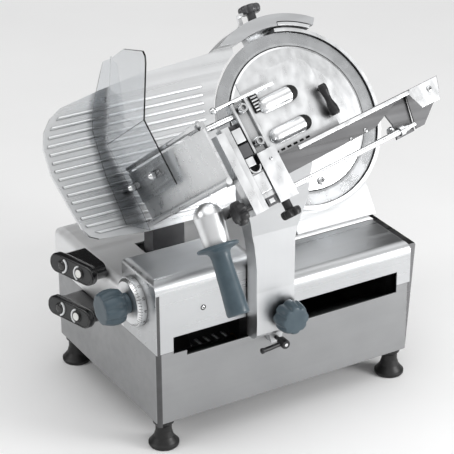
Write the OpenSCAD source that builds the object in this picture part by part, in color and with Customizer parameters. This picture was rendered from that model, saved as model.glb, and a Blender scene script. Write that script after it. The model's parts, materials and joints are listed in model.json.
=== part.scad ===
// Automatic gravity-feed deli slicer, 350 mm blade.
// X runs along the carriage travel, Y from the carriage side to the back, Z up from the feet.

/* [Base] */
// Length of the base, along the carriage travel
base_len = 560; // [556:1:580]
// Depth of the base, front to back
base_depth = 415; // [410:1:440]
// Height of the feet
foot_h = 60; // [45:1:70]
// Height of the joint line between the base box and the covers
joint_z = 208; // [206:1:210]
// Height of the front cover beside the index knob
cover_left_top = 355; // [345:1:358]
// Height of the front cover under the blade
cover_right_top = 291; // [286:1:292]
// Height of the rear deck
deck_top = 294; // [290:1:296]
// Thickness of the sheet covers
sheet = 3; // [2.5:0.1:4]

/* [Blade] */
// Diameter of the blade
blade_dia = 350; // [340:1:352]
// Tilt of the blade back from vertical
tilt = 35; // [34:0.5:36]
// Diameter of the polished disc over the blade
cover_dia = 292; // [270:1:300]

/* [Gauge] */
// Distance from one rib of the gauge plate to the next
rib_pitch = 16; // [14:1:20]

/* [Table] */
// Roll of the meat table towards its end wall
table_roll = 11; // [10:0.5:12]
// Depth of the table's end wall, from the gauge plate outwards
table_depth = 353; // [350:1:356]
// Bore of the carriage slide for its guide rods
rod_bore = 25.1; // [25.04:0.02:25.2]

/* [Hidden] */

$fn = 64;
// centre of the whole machine's footprint box, measured from the base's front left corner
box_mid = [285.6, 111.8];
// room left between neighbouring pieces
gap = 0.3;
big = 900;

// blade and its tilted frame: x along travel, -y outwards from the blade, z up the blade
blade_c = [462, 259, 480];
blade_r = blade_dia / 2;
cover_r = cover_dia / 2;
ring_in = blade_r + 2;
ring_out = blade_r + 9;
ring_from = -115;
ring_to = 88;

// carriage slot in the front
slot_x = [35, 529];
slot_z = [193, 237];
slot_step = 63;

// carriage slide
rod_r = 12.5;
rod_y = 64;
rod_low_z = 150;
rod_high_z = 222;
arm_x = [190, 271];
knob_at = [250, 246]; // x and z of the big knob
lever_at = [240, 190]; // x and z of the clamp lever
tongue_z = [206, 231];

// carriage belt drive
drive_r = 20;
drive_z = 104;
drive_y = 36;
drive_x = [66, 500];
belt_w = 14;
belt_t = 2;

// blade drive, in the blade's frame
motor_at = [20, -215];
shaft_r = 12.5;
blade_pulley_r = 58;
motor_pulley_r = 28;
blade_belt_n = [-80, -64];

// index knob and its dial on the left end
index_y = 78;
index_z = 287;

// switch boxes on the left end
box_angle = 16;
box_half = 40;
box_r = 19;
box_upper = [-58, 226, 300];
box_lower = [-58, 245, 200];
button_at = 24;

// meat table, in the table's frame: x along its front rail, -y outwards, z up off its floor
wall_x = -384;
floor_u = -54;
frame_n = 345;
post_x = [-370, -338];
bar_x = [-311, -272];
press_x = [-311, -119];
press_n = 320;
rail_u = 54;
rail_r = 5;

module at_base() { translate([-box_mid[0], -box_mid[1], 0]) children(); }
module at_blade() { at_base() translate(blade_c) rotate([-tilt, 0, 0]) children(); }
module at_table() { at_blade() rotate([0, -table_roll, 0]) children(); }
// cylinder along the blade's axis, from distance n0 to n1 outwards
module along_n(r, n0, n1) { translate([0, -n0, 0]) rotate([90, 0, 0]) cylinder(r = r, h = n1 - n0); }
// flat outline drawn in the blade's or table's plane, thick from n0 to n1 outwards
module plate_n(n0, n1) { translate([0, -n0, 0]) rotate([90, 0, 0]) linear_extrude(n1 - n0) children(); }
module box(low, high) { translate(low) cube(high - low); }
module rod_x(r, x0, x1) { translate([x0, 0, 0]) rotate([0, 90, 0]) cylinder(r = r, h = x1 - x0); }
module rod_y(r, y0, y1) { translate([0, y0, 0]) rotate([-90, 0, 0]) cylinder(r = r, h = y1 - y0); }

// rectangle with round corners, from low to high
module round_rect(low, high, r) {
    translate([low[0] + r, low[1]]) square([high[0] - low[0] - 2 * r, high[1] - low[1]]);
    translate([low[0], low[1] + r]) square([high[0] - low[0], high[1] - low[1] - 2 * r]);
    for (x = [low[0] + r, high[0] - r], y = [low[1] + r, high[1] - r]) translate([x, y]) circle(r);
}
// rectangle whose top corners only are round
module arch_rect(low, high, r_low_side, r_high_side) {
    square_top = high[1];
    difference() {
        translate(low) square(high - low);
        corner_cut([low[0], square_top], r_low_side, 1);
        corner_cut([high[0], square_top], r_high_side, -1);
    }
}
module corner_cut(corner, r, side) {
    centre = [corner[0] + side * r, corner[1] - r];
    difference() {
        translate([min(corner[0], centre[0]) - (side > 0 ? 1 : 0), centre[1]]) square([r + 1, r + 1]);
        translate(centre) circle(r);
    }
}
module stadium(half, r) {
    translate([-half, -r]) square([2 * half, 2 * r]);
    for (s = [-1, 1]) translate([s * half, 0]) circle(r);
}
function arc(r, a0, a1, steps) = [for (i = [0:steps]) let (a = a0 + (a1 - a0) * i / steps) [r * cos(a), r * sin(a)]];
module sector(r, a0, a1) { polygon(concat([[0, 0]], arc(r, a0, a1, 24))); }
module ring_sector(r_in, r_out, a0, a1) {
    intersection() {
        difference() {
            circle(r_out);
            circle(r_in);
        }
        sector(r_out * 2, a0, a1);
    }
}
// knob outline with round lobes
module lobes(count, r, lobe_r) {
    circle(r - lobe_r * 0.35);
    for (i = [0:count - 1]) rotate(i * 360 / count) translate([r - lobe_r, 0]) circle(lobe_r);
}

// ---- base ----

module base_box() {
    color("silver") at_base() difference() {
        translate([0, 0, foot_h]) linear_extrude(joint_z - 0.5 - foot_h)
            round_rect([0, 0], [base_len, base_depth], 10);
        translate([0, 0, foot_h - 1]) linear_extrude(joint_z)
            round_rect([sheet, sheet], [base_len - sheet, base_depth - sheet], 7);
        box([slot_step, -1, slot_z[0]], [slot_x[1], sheet + 1, big]);
        box([slot_x[0], -1, slot_z[0] + 10], [slot_x[1], sheet + 1, big]);
    }
}
module bottom_plate() {
    inset = sheet + gap;
    color("gray") at_base() translate([0, 0, foot_h]) difference() {
        linear_extrude(4) round_rect([inset, inset], [base_len - inset, base_depth - inset], 6);
        for (x = [150:20:410]) translate([x, 180, -1]) cube([8, 60, 6]);
    }
}
module foot() {
    rotate_extrude() polygon([[0, 0], [27, 0], [29, 3], [29, 7], [26, 10], [19, 20], [15.5, 32], [15.5, 44],
        [18, 48], [20, 50], [20, foot_h - gap], [0, foot_h - gap]]);
}
module feet() {
    color("black") at_base() for (x = [24, base_len - 24], y = [25, base_depth - 25]) translate([x, y, 0]) foot();
}

// hollow cover, round along its top edges, open below
module cover_shell(low, high, r_front, r_back, r_left, r_right) {
    intersection() {
        translate([low[0], 0, 0]) rotate([90, 0, 90]) linear_extrude(high[0] - low[0])
            arch_rect([low[1], low[2]], [high[1], high[2]], r_front, r_back);
        translate([0, high[1], 0]) rotate([90, 0, 0]) linear_extrude(high[1] - low[1])
            arch_rect([low[0], low[2]], [high[0], high[2]], r_left, r_right);
    }
}
module front_cover_left() {
    right = 232;
    back = 129;
    color("lightgray") at_base() difference() {
        cover_shell([0, 0, joint_z], [right, back, cover_left_top], 24, 14, 12, 40);
        cover_shell([sheet, sheet, joint_z - 10], [right - sheet, back - sheet, cover_left_top - sheet], 21, 11, 9, 37);
        box([sheet + 20, sheet, joint_z - 1], [right + 1, back - sheet, 280]);
        box([slot_x[0], -1, 0], [big, sheet + 1, slot_z[1]]);
        translate([-1, index_y, index_z]) rod_x(9.05, 0, 12);
        translate([98, 0, 282]) rod_y(4, -1, sheet + 1);
    }
}
module front_cover_right() {
    left = 232 + gap;
    back = 129;
    color("lightgray") at_base() difference() {
        cover_shell([left, 0, joint_z], [base_len, back, cover_right_top], 22, 6, 4, 8);
        cover_shell([left - 10, sheet, joint_z - 10], [base_len - sheet, back - sheet, cover_right_top - sheet], 19, 4, 2, 6);
        box([0, -1, 0], [slot_x[1], sheet + 1, slot_z[1]]);
    }
}
module rear_cover() {
    front = 129 + gap;
    color("lightgray") at_base() difference() {
        cover_shell([0, front, joint_z], [base_len, base_depth, deck_top], 5, 10, 16, 8);
        cover_shell([sheet, front + sheet, joint_z - 10], [base_len - sheet, base_depth - sheet, deck_top - sheet], 3, 8, 13, 6);
        // opening under the blade housing for the blade drive
        box([412, 150, joint_z], [562 - sheet * 3, 236, deck_top + 1]);
        // opening for the gauge support
        box([100, 198, joint_z], [180, 270, deck_top + 1]);
        box([sheet + 20, front - 1, joint_z - 1], [base_len - sheet - 20, front + sheet + 1, 282]);
    }
}
// wedge-shaped trim on the right end, wider at the top
module end_cover() {
    color("dimgray") at_base() translate([0, base_depth - 8, 0]) rotate([90, 0, 0]) linear_extrude(base_depth - 16)
        polygon([[base_len + gap, foot_h + 4], [base_len + gap + 1, foot_h + 4], [base_len + 16, deck_top - 12],
            [base_len + 14, deck_top - 8], [base_len + gap, deck_top - 8]]);
}

// ---- carriage guide and drive ----

module guide_rods() {
    color("gainsboro") at_base() for (z = [rod_low_z, rod_high_z]) translate([0, rod_y, z])
        rod_x(rod_r, 6, base_len - 6);
}
module rod_supports() {
    ends = [[5, 24], [base_len - 24, base_len - 5]];
    color("gray") at_base() {
        for (e = ends) difference() {
            box([e[0], rod_y - 18, foot_h + 4.5], [e[1], rod_y + 18, rod_high_z + 17]);
            for (z = [rod_low_z, rod_high_z]) translate([0, rod_y, z]) rod_x(rod_r + 0.05, e[0] - 1, e[1] + 1);
        }
        // stand for the idler pulley, with its pin
        box([drive_x[1] - 8, drive_y + belt_w / 2 + 4, foot_h + 4.5],
            [drive_x[1] + 8, drive_y + belt_w / 2 + 9, drive_z + 12]);
        translate([drive_x[1], 0, drive_z]) rod_y(5, drive_y - belt_w / 2 - 2, drive_y + belt_w / 2 + 5);
    }
}
module belt_wheel(r, bore, half_w) {
    rotate([90, 0, 0]) difference() {
        union() {
            cylinder(r = r, h = 2 * half_w, center = true);
            for (s = [-1, 1]) translate([0, 0, s * (half_w + 0.75)]) cylinder(r = r + 3, h = 1.5, center = true);
        }
        cylinder(r = bore, h = 4 * half_w + 10, center = true);
    }
}
module drive_motor() {
    y0 = drive_y + belt_w / 2 + 6;
    color("slategray") at_base() {
        translate([drive_x[0], 0, drive_z]) {
            rod_y(6, drive_y - belt_w / 2 - 4, y0 + 1);
            rod_y(16, y0, y0 + 5);
            rod_y(39, y0 + 50, y0 + 190);
            rod_y(35, y0 + 189, y0 + 204);
        }
        box([drive_x[0] - 38, y0 + 4, drive_z - 39], [drive_x[0] + 38, y0 + 51, drive_z + 16]);
        box([drive_x[0] - 30, y0 + 60, foot_h + 4.5], [drive_x[0] + 30, y0 + 180, drive_z - 36]);
    }
}
module belt_loop(r) {
    centre = (drive_x[1] - drive_x[0]) / 2;
    translate([drive_x[0] + centre, 0]) stadium(centre, r);
}
module drive_belt() {
    color("black") at_base() translate([0, drive_y + belt_w / 2, drive_z]) rotate([90, 0, 0]) linear_extrude(belt_w)
        difference() {
            belt_loop(drive_r + gap + belt_t);
            belt_loop(drive_r + gap);
        }
}
module drive_pulley() {
    color("gainsboro") at_base() translate([drive_x[0], drive_y, drive_z]) belt_wheel(drive_r, 6.05, belt_w / 2 + gap);
}
module idler_pulley() {
    color("gainsboro") at_base() translate([drive_x[1], drive_y, drive_z]) belt_wheel(drive_r, 5.05, belt_w / 2 + gap);
}

// ---- blade ----

// keyhole outline of the blade housing: drum round the shaft, pedestal down to the deck
module housing_outline(grow) {
    circle(108 + grow);
    polygon([[-62 - grow, 0], [-74 - grow, -260], [112 + grow, -260], [110 + grow, -150], [104 + grow, 0]]);
}
module above_deck() {
    intersection() {
        at_blade() children();
        at_base() box([-100, -100, deck_top + gap], [big, big, 2 * big]);
    }
}
module blade_housing() {
    color("lightgray") difference() {
        above_deck() {
            plate_n(-20, -8.3) {
                circle(blade_r - 6);
                ring_sector(20, ring_out, ring_from, ring_to);
            }
            plate_n(-95, -19) difference() {
                housing_outline(0);
                housing_outline(-5);
            }
            plate_n(-20, -8.3) intersection() {
                housing_outline(0);
                translate([-400, -300]) square([800, 300]);
            }
            along_n(34, -60, -19);
        }
        at_blade() {
            along_n(26, -61, -15);
            along_n(shaft_r + 2, -30, 0);
        }
    }
}
module housing_back_cover() {
    color("silver") difference() {
        above_deck() plate_n(-99, -95 - gap) housing_outline(0);
        at_blade() along_n(6, -110, -90);
        for (i = [-3:3]) at_blade() plate_n(-105, -90) translate([i * 12 - 2, -70]) square([5, 34]);
    }
}
module guard_ring() {
    color("lightgray") at_blade() plate_n(-8, 6) ring_sector(ring_in, ring_out, ring_from, ring_to);
}
module blade() {
    color("gainsboro") at_blade() rotate([90, 0, 0]) rotate_extrude($fn = 128)
        polygon([[7, -3], [60, -3], [70, -2], [blade_r - 26, -2], [blade_r, 0.4], [blade_r, 0.8],
            [blade_r - 22, 1], [blade_r - 40, 0], [7, 0]]);
}
module blade_cover() {
    color("whitesmoke") at_blade() rotate([90, 0, 0]) rotate_extrude($fn = 128)
        polygon([[5.2, 3], [100, 3], [cover_r - 18, 1.6], [cover_r, 1.6], [cover_r, 2.8], [cover_r - 4, 4.2],
            [110, 7], [5.2, 8.5]]);
}
module cover_tie_rod() {
    color("dimgray") at_blade() {
        along_n(5.1, -125, 8.6);
        along_n(14, 8.8, 11);
        along_n(5.1, 8, 9);
        plate_n(-140, -118) lobes(6, 24, 7);
    }
}
module blade_shaft() {
    color("silver") at_blade() difference() {
        union() {
            along_n(shaft_r, -88, -7.5);
            along_n(56, -7.5, -3 - gap);
        }
        along_n(5.2, -90, 0);
    }
}
module blade_bearings() {
    color("gainsboro") at_blade() for (n = [[-59, -45], [-32, -18]]) difference() {
        along_n(25.9, n[0], n[1]);
        along_n(shaft_r + 0.05, n[0] - 1, n[1] + 1);
    }
}
module grooved_wheel(r, bore, n0, n1) {
    mid = (n0 + n1) / 2;
    difference() {
        union() {
            along_n(r, n0, n1);
            along_n(r + 3, n0 - 2, n0);
            along_n(r + 3, n1, n1 + 2);
        }
        along_n(bore, n0 - 5, n1 + 5);
        for (a = [0:60:300]) rotate([0, a, 0]) translate([r * 0.58, 0, 0]) along_n(r * 0.17, n0 - 5, n1 + 5);
    }
}
module blade_pulley() {
    color("silver") at_blade() grooved_wheel(blade_pulley_r, shaft_r - 0.1, blade_belt_n[0] - gap, blade_belt_n[1] + gap);
}
module at_motor() { translate([motor_at[0], 0, motor_at[1]]) children(); }
module motor_pulley() {
    color("silver") at_blade() at_motor() grooved_wheel(motor_pulley_r, 8.05, blade_belt_n[0] - gap, blade_belt_n[1] + gap);
}
module blade_motor() {
    color("slategray") at_blade() at_motor() {
        along_n(8, -110, -58);
        along_n(28, -103, -97);
        along_n(46, -190, -102);
        along_n(40, -206, -189);
    }
}
// outline of a band stretched round two wheels: an arc round each, joined by the straight runs
function band(r0, r1, span, lean) = let (spread = acos((r0 - r1) / span), far = span * [cos(lean), sin(lean)])
    concat(arc(r0, lean + spread, lean + 360 - spread, 40), [for (p = arc(r1, lean - spread, lean + spread, 24)) far + p]);
module blade_belt() {
    span = norm(motor_at);
    lean = atan2(motor_at[1], motor_at[0]);
    color("black") at_blade() plate_n(blade_belt_n[0], blade_belt_n[1]) difference() {
        polygon(band(blade_pulley_r + gap + 3, motor_pulley_r + gap + 3, span, lean));
        polygon(band(blade_pulley_r + gap, motor_pulley_r + gap, span, lean));
    }
}

// ---- sharpener, on top of the blade ----

sharp_in = 187;
sharp_out = 212;
sharp_knob = [-22, 226];
latch_at = [-56, 214];
module sharpener_outline() {
    intersection() {
        ring_sector(sharp_in, sharp_out, 62, 128);
        translate([-200, 171]) square([400, 100]);
    }
}
module sharpener_body() {
    color("silver") at_blade() {
        difference() {
            plate_n(-42, 12) sharpener_outline();
            plate_n(-38, 20) ring_sector(sharp_in - 1, sharp_in + 9, 61, 86);
            translate([sharp_knob[0], 14, 190]) cylinder(r = 6.1, h = 60);
            translate([latch_at[0], 4, latch_at[1] - 14]) rotate([0, 90, 0]) cylinder(r = 3.05, h = 20, center = true);
            translate([latch_at[0] - 6.3, -5, latch_at[1] - 22]) cube([12.6, 22, 40]);
        }
        // foot that clamps behind the guard ring
        plate_n(-42, -22) ring_sector(172, sharp_in + 1, 78, 104);
    }
}
module sharpener_knob() {
    color("dimgray") at_blade() translate([sharp_knob[0], 14, 0]) {
        translate([0, 0, 193]) cylinder(r = 6, h = 32);
        translate([0, 0, 213]) cylinder(r = 9, h = 14);
        translate([0, 0, 226]) linear_extrude(17) lobes(7, 23, 7);
    }
}
module sharpener_latch() {
    color("gainsboro") at_blade() translate([latch_at[0], 4, latch_at[1] - 14]) {
        rotate([0, 90, 0]) cylinder(r = 3, h = 18, center = true);
        rotate([0, 90, 0]) cylinder(r = 7, h = 11, center = true);
        translate([-4, -3, 0]) cube([8, 6, 26]);
        translate([-4, -14, 21]) cube([8, 16, 5]);
    }
}
module sharpening_wheels() {
    color("tan") at_blade() for (n = [-30, 4]) translate([36, -n, sharp_out - 25.7]) rotate([14, 0, 0])
        cylinder(r = 5, h = 5);
}

// ---- gauge plate ----

gauge_w = 533;
module gauge_outline(inset) {
    i = inset;
    difference() {
        polygon([[-92, 167 - i], [-283, 155 - i], [-389, 140 - i], [-477 + i / 2, 123 - i], [-503 + i, 108 - i],
            [-522 + i, 86 - i / 2], [-gauge_w + i, 55], [-gauge_w + i, 4], [-514 + i, -76], [-505 + i, -108 + i / 2],
            [-494 + i, -124 + i], [-478 + i, -132 + i], [-378, -141 + i], [-110, -141 + i]]);
        circle(blade_r + 4 + i);
    }
}
module gauge_plate() {
    rib_count = 15;
    color("gainsboro") at_blade() {
        plate_n(-7, 0) gauge_outline(0);
        intersection() {
            plate_n(-1, 4) gauge_outline(8);
            union() for (i = [0:rib_count - 1]) translate([-gauge_w, 0, 104 - i * rib_pitch]) rod_x(3, 0, 350 - i * 3);
        }
        // stiffening frame on the back
        for (u = [-100, 90]) translate([-430, 7, u]) cube([220, 14, 14]);
    }
}
// sliding support of the gauge plate, on a rod parallel to the blade's axis
support_x = [106, 174];
carrier_at = [140, 226, 250];
module gauge_bracket() {
    color("dimgray") difference() {
        union() {
            intersection() {
                at_base() box([support_x[0], 204, carrier_at[2]], [support_x[1], 240, 480]);
                at_blade() plate_n(-500, -7 - gap) translate([-600, -400]) square([1200, 800]);
            }
            at_base() translate(carrier_at) rotate([-tilt, 0, 0]) box([-24, -24, -22], [24, 24, 22]);
        }
        at_base() translate(carrier_at) rotate([-tilt, 0, 0]) rod_y(10.05, -60, 60);
        at_blade() box([-431, 6, -101], [-209, 22, -85]);
    }
}
module gauge_guide_rod() {
    color("gainsboro") at_base() {
        translate(carrier_at) rotate([-tilt, 0, 0]) rod_y(10, -30, 62);
        // bracket that holds the rod's lower end
        difference() {
            translate(carrier_at) rotate([-tilt, 0, 0]) box([-30, 52, -190], [30, 61, 14]);
            box([0, 0, 0], [big, big, foot_h + 5]);
        }
    }
}

// ---- index knob ----

module index_knob() {
    color("slategray") at_base() translate([0, index_y, index_z]) rotate([0, -90, 0]) {
        translate([0, 0, 17]) cylinder(r = 20, h = 13);
        translate([0, 0, 29]) linear_extrude(32) lobes(8, 34.5, 11);
        translate([0, 0, 60]) cylinder(r1 = 31.5, r2 = 28, h = 12.5, $fn = 48);
    }
}
module index_dial() {
    color("gainsboro") at_base() translate([0, index_y, index_z]) rotate([0, -90, 0]) {
        translate([0, 0, gap]) cylinder(r = 47, h = 12);
        translate([0, 0, 12]) cylinder(r1 = 46, r2 = 40, h = 4.7);
        translate([0, 0, -60]) cylinder(r = 9, h = 61);
        translate([0, 0, -62]) cylinder(r = 30, h = 8);
    }
}

// ---- switches ----

module at_switch(c) { at_base() translate(c) rotate([0, 0, box_angle]) rotate([0, -82, 0]) rotate([0, 0, 90]) children(); }
// one pod: long face plate with round ends on a stand-off that runs back to the left end
module switch_box(c) {
    difference() {
        union() {
            at_switch(c) translate([0, 0, -14]) linear_extrude(14) stadium(box_half, box_r);
            intersection() {
                at_switch(c) translate([0, 0, -90]) linear_extrude(78) stadium(box_half - 6, box_r - 3);
                at_base() box([-200, 0, 0], [-gap, big, big]);
            }
        }
        at_switch(c) for (s = [-1, 1]) translate([s * button_at, 0, -7]) cylinder(r = 10, h = 10);
        at_switch(c) for (s = [-1, 1]) translate([s * button_at, 0, -16]) cylinder(r = 6, h = 10);
    }
}
module switch_boxes() {
    color("black") {
        switch_box(box_upper);
        switch_box(box_lower);
    }
}
module button(c, side) {
    at_switch(c) translate([side * button_at, 0, 0]) {
        translate([0, 0, -3.5]) cylinder(r = 9.6, h = 7.5);
        translate([0, 0, -12]) cylinder(r = 5.9, h = 9);
    }
}
module blade_start_button() { color("white") button(box_upper, -1); }
module blade_stop_button() { color("black") button(box_upper, 1); }
module carriage_start_button() { color("white") button(box_lower, -1); }
module carriage_stop_button() { color("black") button(box_lower, 1); }
module cable_gland() {
    color("black") at_base() translate([80, base_depth, 110]) difference() {
        union() {
            rod_y(13, gap, 8);
            rod_y(9, 7, 26);
        }
        rod_y(5, -1, 30);
    }
}

// ---- carriage ----

// the arm leans outwards above the covers to reach under the table's front rail
module arm_side() {
    polygon([[-3, 180], [-3, 430], [-14, 500], [-42, 574], [-80, 574], [-62, 520], [-48, 470], [-38, 420], [-36, 300],
        [-38, 240], [-38, 213], [-32, 205], [-24, 201], [-24, 180]]);
}
module arm_front() {
    difference() {
        polygon([[189, 200], [lever_at[0] - 15, 200], [lever_at[0] - 10, 180], [lever_at[0] + 10, 180],
            [lever_at[0] + 15, 200], [268, 200], [arm_x[1], 212], [arm_x[1], 395], [280, 441], [290, 475], [284, 530],
            [276, 600], [120, 600], [150, 540], [163, 480], [173, 448], [184, 400], [arm_x[0], 350], [arm_x[0], 260]]);
        translate(knob_at) circle(7.05);
    }
}
module carriage_arm() {
    color("whitesmoke") {
        difference() {
            at_base() intersection() {
                translate([100, 0, 0]) rotate([90, 0, 90]) linear_extrude(220) arm_side();
                translate([0, 20, 0]) rotate([90, 0, 0]) linear_extrude(120) arm_front();
            }
            // flat seat for the table frame
            at_table() box([-600, -600, floor_u - 10], [200, 100, 400]);
            at_table() box([-600, -600, -400], [200, -frame_n + 20, 400]);
            at_base() translate([lever_at[0], 0, lever_at[1]]) rod_y(4.05, -60, 0);
        }
        at_base() box([222, -12, tongue_z[0]], [268, rod_y - 20 - gap, tongue_z[1]]);
    }
}
module slide_block() {
    color("slategray") at_base() {
        difference() {
            box([200, rod_y - 20, rod_low_z - 20], [306, rod_y + 20, rod_high_z + 20]);
            for (z = [rod_low_z, rod_high_z]) translate([0, rod_y, z]) rod_x(16, 190, 320);
        }
        // plate that clamps the upper run of the drive belt
        box([236, drive_y - 10, drive_z + drive_r + belt_t + 1], [270, rod_y - 10, drive_z + drive_r + belt_t + 8]);
    }
}
module slide_bushings() {
    color("goldenrod") at_base() for (z = [rod_low_z, rod_high_z], x = [200, 276]) translate([0, rod_y, z]) difference() {
        rod_x(15.95, x, x + 30);
        rod_x(rod_bore / 2, x - 1, x + 31);
    }
}
module table_floor() {
    color("silver") at_table() {
        plate_n(14, frame_n - 20)
            translate([wall_x + 4.5, floor_u - 4]) square([press_x[1] - wall_x - 4.5, 4]);
        // bracket under the floor that bolts to the arm
        plate_n(250, frame_n - 21) translate([-330, floor_u - 9.7]) square([130, 6]);
    }
}
module end_wall() {
    color("gainsboro") at_table() {
        box([wall_x - 2, -table_depth, floor_u], [wall_x + 2, -12, 45]);
        translate([wall_x - 2, 0, floor_u - 1]) along_n(6, 12, table_depth);
    }
}
module press_rail() {
    color("gainsboro") at_table() {
        translate([wall_x, 0, rail_u]) along_n(rail_r, 16, 352);
        for (n = [[16, 24], [344, 352]]) difference() {
            box([wall_x - 1.8, -n[1], 45 + gap], [wall_x + 1.8, -n[0], rail_u]);
            translate([wall_x, 0, rail_u]) along_n(rail_r - 0.5, n[0] - 1, n[1] + 1);
        }
    }
}
// clear thumb guard: upright panel, upper part leaning over the food, wing along the gauge plate
guard_t = 3;
guard_lean = 31;
guard_bend = 112;
guard_top = 256;
module hand_guard() {
    face_x = wall_x - 12;
    slope = tan(guard_lean);
    over = (guard_top + 4 - guard_bend) * slope;
    thick = guard_t / cos(guard_lean);
    fold_x = face_x - guard_t / 2;
    color("lightblue", 0.4) at_table() difference() {
        union() {
            plate_n(11, 192) polygon([[face_x - guard_t, -16], [face_x, -16], [face_x, guard_bend],
                [face_x + over, guard_top + 4], [face_x + over - thick, guard_top + 4],
                [face_x - guard_t, guard_bend + (thick - guard_t) / slope]]);
            plate_n(9, 9 + guard_t) polygon([[fold_x, -30], [fold_x, guard_bend],
                [fold_x + (guard_top - guard_bend) * slope, guard_top], [wall_x + 55, guard_top + 1],
                [wall_x - 3, 191], [wall_x - 28, 149], [wall_x - 46, 63], [wall_x - 50, 3], [wall_x - 54, -37],
                [wall_x - 16, -66]]);
        }
        // sloping top edge with its round outer corner
        translate([face_x - 20, 0, 0]) rotate([90, 0, 90]) linear_extrude(over + 40)
            polygon([[-220, 203], [-192, 203], [-188, 216], [-176, 227], [-79, 255], [-22, guard_top], [-12.5, guard_top],
                [-12.5, guard_top + 20], [-220, guard_top + 20]]);
        for (n = [30, 130]) translate([0, -n, 19]) rod_x(4.1, wall_x - 20, wall_x - 8);
    }
}
module guard_bolts() {
    color("gainsboro") at_table() for (n = [30, 130]) translate([0, -n, 19]) {
        rod_x(4, wall_x - 17, wall_x - 2 - gap);
        rod_x(8, wall_x - 12 + gap, wall_x - 2 - gap);
        rod_x(8, wall_x - 21, wall_x - 15 - gap);
        translate([wall_x - 21, 0, 0]) sphere(r = 6.5);
    }
}
// upright frame at the outer end of the table, with the neck of the push handle
module table_frame() {
    foot_u = -128;
    n0 = frame_n - 15;
    n1 = frame_n + 3;
    color("whitesmoke") at_table() {
        box([post_x[0], -n1 - 7, foot_u], [post_x[0] + 17, -n0 - 3, 24]);
        box([post_x[0] + 16, -n1, foot_u], [post_x[1], -n0 + 1, 30]);
        box([bar_x[0], -n1, foot_u], [bar_x[1], -n0, -34]);
        box([post_x[1] - 1, -n1 + 6, foot_u], [bar_x[0] + 1, -n0, foot_u + 18]);
        box([post_x[1] - 1, -n1 + 4, -110], [bar_x[0] + 1, -n0, -62]);
        // ledge under the floor
        box([wall_x + 7, -n0 - 4, floor_u - 9.7], [-331, -n0 + 12, floor_u - 4 - gap]);
        // bracket to the neck of the push handle
        box([-446, -n0 + 6, -112], [post_x[0] + 1, -n0 + 30, -92]);
        box([post_x[0] - 14, -n0 - 4, -112], [post_x[0] + 1, -n0 + 30, -92]);
    }
    color("whitesmoke") at_handle() {
        translate([0, 0, 8 + gap]) cylinder(r1 = 23, r2 = 27, h = 52);
        translate([0, 0, 58]) sphere(r = 26.5);
    }
}
module front_rail() {
    n1 = frame_n + 1;
    color("silver") at_table() {
        // top flange and the down-turned face
        plate_n(frame_n - 18, n1) translate([bar_x[1] + gap, floor_u - 1]) square([304, 3]);
        plate_n(n1 - 3, n1) polygon([[bar_x[1] + gap, floor_u], [32, floor_u], [4, floor_u - 4], [-70, -87], [bar_x[1] + gap, -90]]);
        // end bracket down to the guide rod
        plate_n(n1 - 19, n1 - 15) polygon([[-34, floor_u], [30, floor_u], [12, -124], [-30, -124], [-24, -96]]);
        plate_n(n1 - 12, n1 - 9) polygon([[28, floor_u + 2], [106, floor_u + 2], [98, -76], [34, -122], [14, -122]]);
    }
}
module table_guide_rod() {
    color("gainsboro") at_table() translate([0, -frame_n + 5, -113]) {
        rod_x(5.5, bar_x[1] + gap, -4);
        rod_x(8.6, -24, -14);
        rod_x(4, -5, 13);
    }
}
// top of the push handle's grip, whose axis lies up the blade
module at_handle() { at_blade() translate([-405.5, -311, -233.8]) children(); }
module push_handle() {
    color("slategray") at_handle() {
        cylinder(r1 = 24, r2 = 38, h = 5);
        translate([0, 0, 5]) cylinder(r = 38, h = 3);
        translate([0, 0, -116]) cylinder(r1 = 21, r2 = 17, h = 117);
        translate([0, 0, -117]) sphere(r = 20.5);
    }
}
module arm_knob() {
    color("slategray") at_base() translate([knob_at[0], 0, knob_at[1]]) {
        rod_y(7, -60, -6);
        rod_y(14, -46, -39);
        translate([0, -44, 0]) rotate([90, 0, 0]) linear_extrude(34) lobes(8, 32, 10);
    }
}
module clamp_lever() {
    color("black") at_base() translate([lever_at[0], 0, lever_at[1]]) {
        rod_y(4, -58, -6);
        rod_y(9, -60, -39);
        translate([0, -56, 0]) rotate([0, 180, 0]) rod_x(5.5, 0, 50);
    }
}
module frame_knob() {
    color("black") at_table() translate([0, -frame_n - 4, -112]) {
        rod_x(5, post_x[0] - 16, post_x[0] - gap);
        translate([post_x[0] - 34, 0, 0]) rotate([0, 90, 0]) linear_extrude(18) lobes(6, 22, 7);
    }
}
module rail_knob() {
    color("black") at_table() translate([-299, -frame_n + 4, 0]) {
        translate([0, 0, -146]) cylinder(r = 8, h = 17.7);
        translate([0, 0, -160]) linear_extrude(16) lobes(5, 19, 7);
    }
}

// ---- sliding food press ----

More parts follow.
